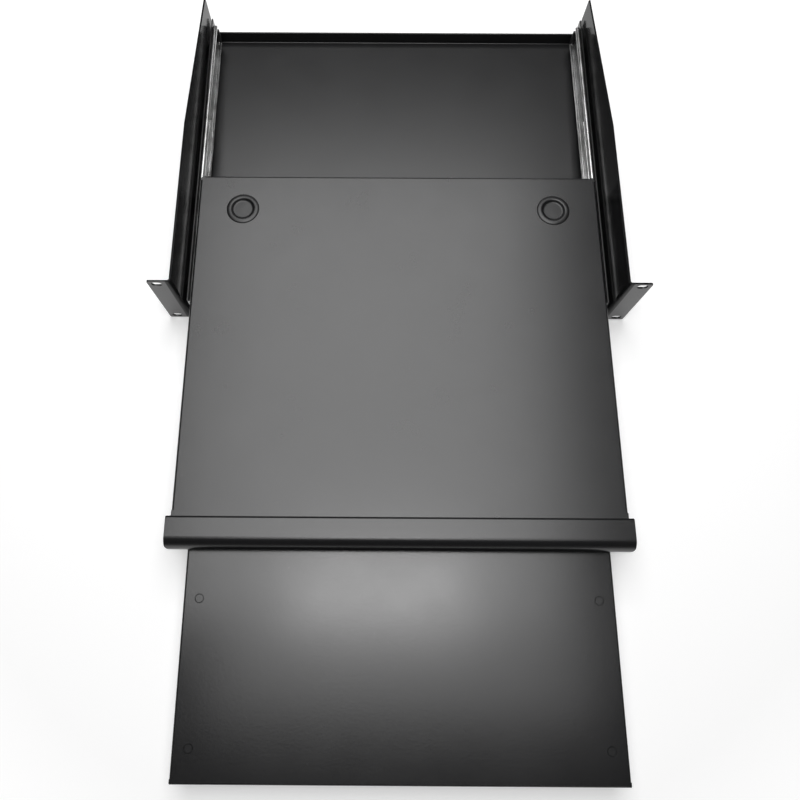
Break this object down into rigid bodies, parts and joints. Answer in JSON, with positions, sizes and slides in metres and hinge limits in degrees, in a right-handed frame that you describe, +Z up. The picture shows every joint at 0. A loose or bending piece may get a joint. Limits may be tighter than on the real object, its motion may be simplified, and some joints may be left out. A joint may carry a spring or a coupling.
{
  "type": "rack keyboard shelf",
  "caption": "Two-unit rack shelf with a flat keyboard tray on telescopic ball slides, a front handle bar and a smaller mouse tray that slides out below it.",
  "frame": {"origin": "centre of the four slots in the ears, on the ears' rear face, where the shelf bears on the rack", "axes": "X to the shelf's right seen from the front, Y back into the rack, Z up"},
  "size_m": [0.4826, 0.8016, 0.0882],
  "materials": {
    "bracket_coat": "semi-gloss black powder coat on sheet steel",
    "pan_coat": "semi-gloss black powder coat on sheet steel",
    "tray_coat": "semi-gloss black powder coat on sheet steel",
    "handle_coat": "semi-gloss black powder coat on sheet steel",
    "mouse_tray_coat": "semi-gloss black powder coat on sheet steel",
    "slide_zinc": "bright zinc plated cold rolled steel",
    "cage_steel": "pressed and zinc plated steel strip",
    "ball_steel": "polished bearing steel",
    "screw_zinc": "zinc plated",
    "screw_black": "black oxide",
    "plug_plastic": "fine satin",
    "bumper_plastic": "matt"
  },
  "bodies": {
    "chassis": {"left_ear_bracket": "bracket_coat", "right_ear_bracket": "bracket_coat", "base_pan": "pan_coat", "left_outer_rail": "slide_zinc", "right_outer_rail": "slide_zinc", "bracket_screws": "screw_zinc", "rail_bumpers": "bumper_plastic"},
    "middle_rails": {"left_middle_rail": "slide_zinc", "right_middle_rail": "slide_zinc"},
    "outer_cages": {"left_outer_cage": "cage_steel", "right_outer_cage": "cage_steel", "outer_bearing_balls": "ball_steel"},
    "inner_cages": {"left_inner_cage": "cage_steel", "right_inner_cage": "cage_steel", "inner_bearing_balls": "ball_steel"},
    "keyboard_tray": {"keyboard_tray": "tray_coat", "front_handle": "handle_coat", "handle_screws": "screw_black", "left_inner_rail": "slide_zinc", "right_inner_rail": "slide_zinc", "inner_rail_screws": "screw_zinc", "left_cable_plug": "plug_plastic", "right_cable_plug": "plug_plastic", "left_mouse_bracket": "tray_coat", "right_mouse_bracket": "tray_coat", "mouse_bracket_rivets": "tray_coat", "left_mouse_outer_rail": "slide_zinc", "right_mouse_outer_rail": "slide_zinc", "mouse_outer_screws": "screw_zinc"},
    "mouse_tray": {"mouse_panel": "mouse_tray_coat", "panel_rivets": "mouse_tray_coat", "left_mouse_inner_rail": "slide_zinc", "right_mouse_inner_rail": "slide_zinc"},
    "mouse_cages": {"left_mouse_cage": "cage_steel", "right_mouse_cage": "cage_steel", "mouse_bearing_balls": "ball_steel"}
  },
  "joints": [
    {"name": "keyboard_tray_slide", "type": "slide", "parent": "chassis", "child": "keyboard_tray", "axis": [0, 1, 0], "range_m": [-0.135, 0.215]},
    {"name": "middle_rail_slide", "type": "slide", "parent": "chassis", "child": "middle_rails", "axis": [0, 1, 0], "range_m": [-0.0675, 0.1075]},
    {"name": "outer_cage_slide", "type": "slide", "parent": "chassis", "child": "outer_cages", "axis": [0, 1, 0], "range_m": [-0.03375, 0.05375]},
    {"name": "inner_cage_slide", "type": "slide", "parent": "chassis", "child": "inner_cages", "axis": [0, 1, 0], "range_m": [-0.10125, 0.16125]},
    {"name": "mouse_tray_slide", "type": "slide", "parent": "keyboard_tray", "child": "mouse_tray", "axis": [0, 1, 0], "range_m": [-0.01, 0.19]},
    {"name": "mouse_cage_slide", "type": "slide", "parent": "keyboard_tray", "child": "mouse_cages", "axis": [0, 1, 0], "range_m": [-0.005, 0.095]}
  ],
  "couplings": [
    {"joint": "middle_rail_slide", "follows": "keyboard_tray_slide", "ratio": 0.5},
    {"joint": "outer_cage_slide", "follows": "keyboard_tray_slide", "ratio": 0.25},
    {"joint": "inner_cage_slide", "follows": "keyboard_tray_slide", "ratio": 0.75},
    {"joint": "mouse_cage_slide", "follows": "mouse_tray_slide", "ratio": 0.5}
  ]
}
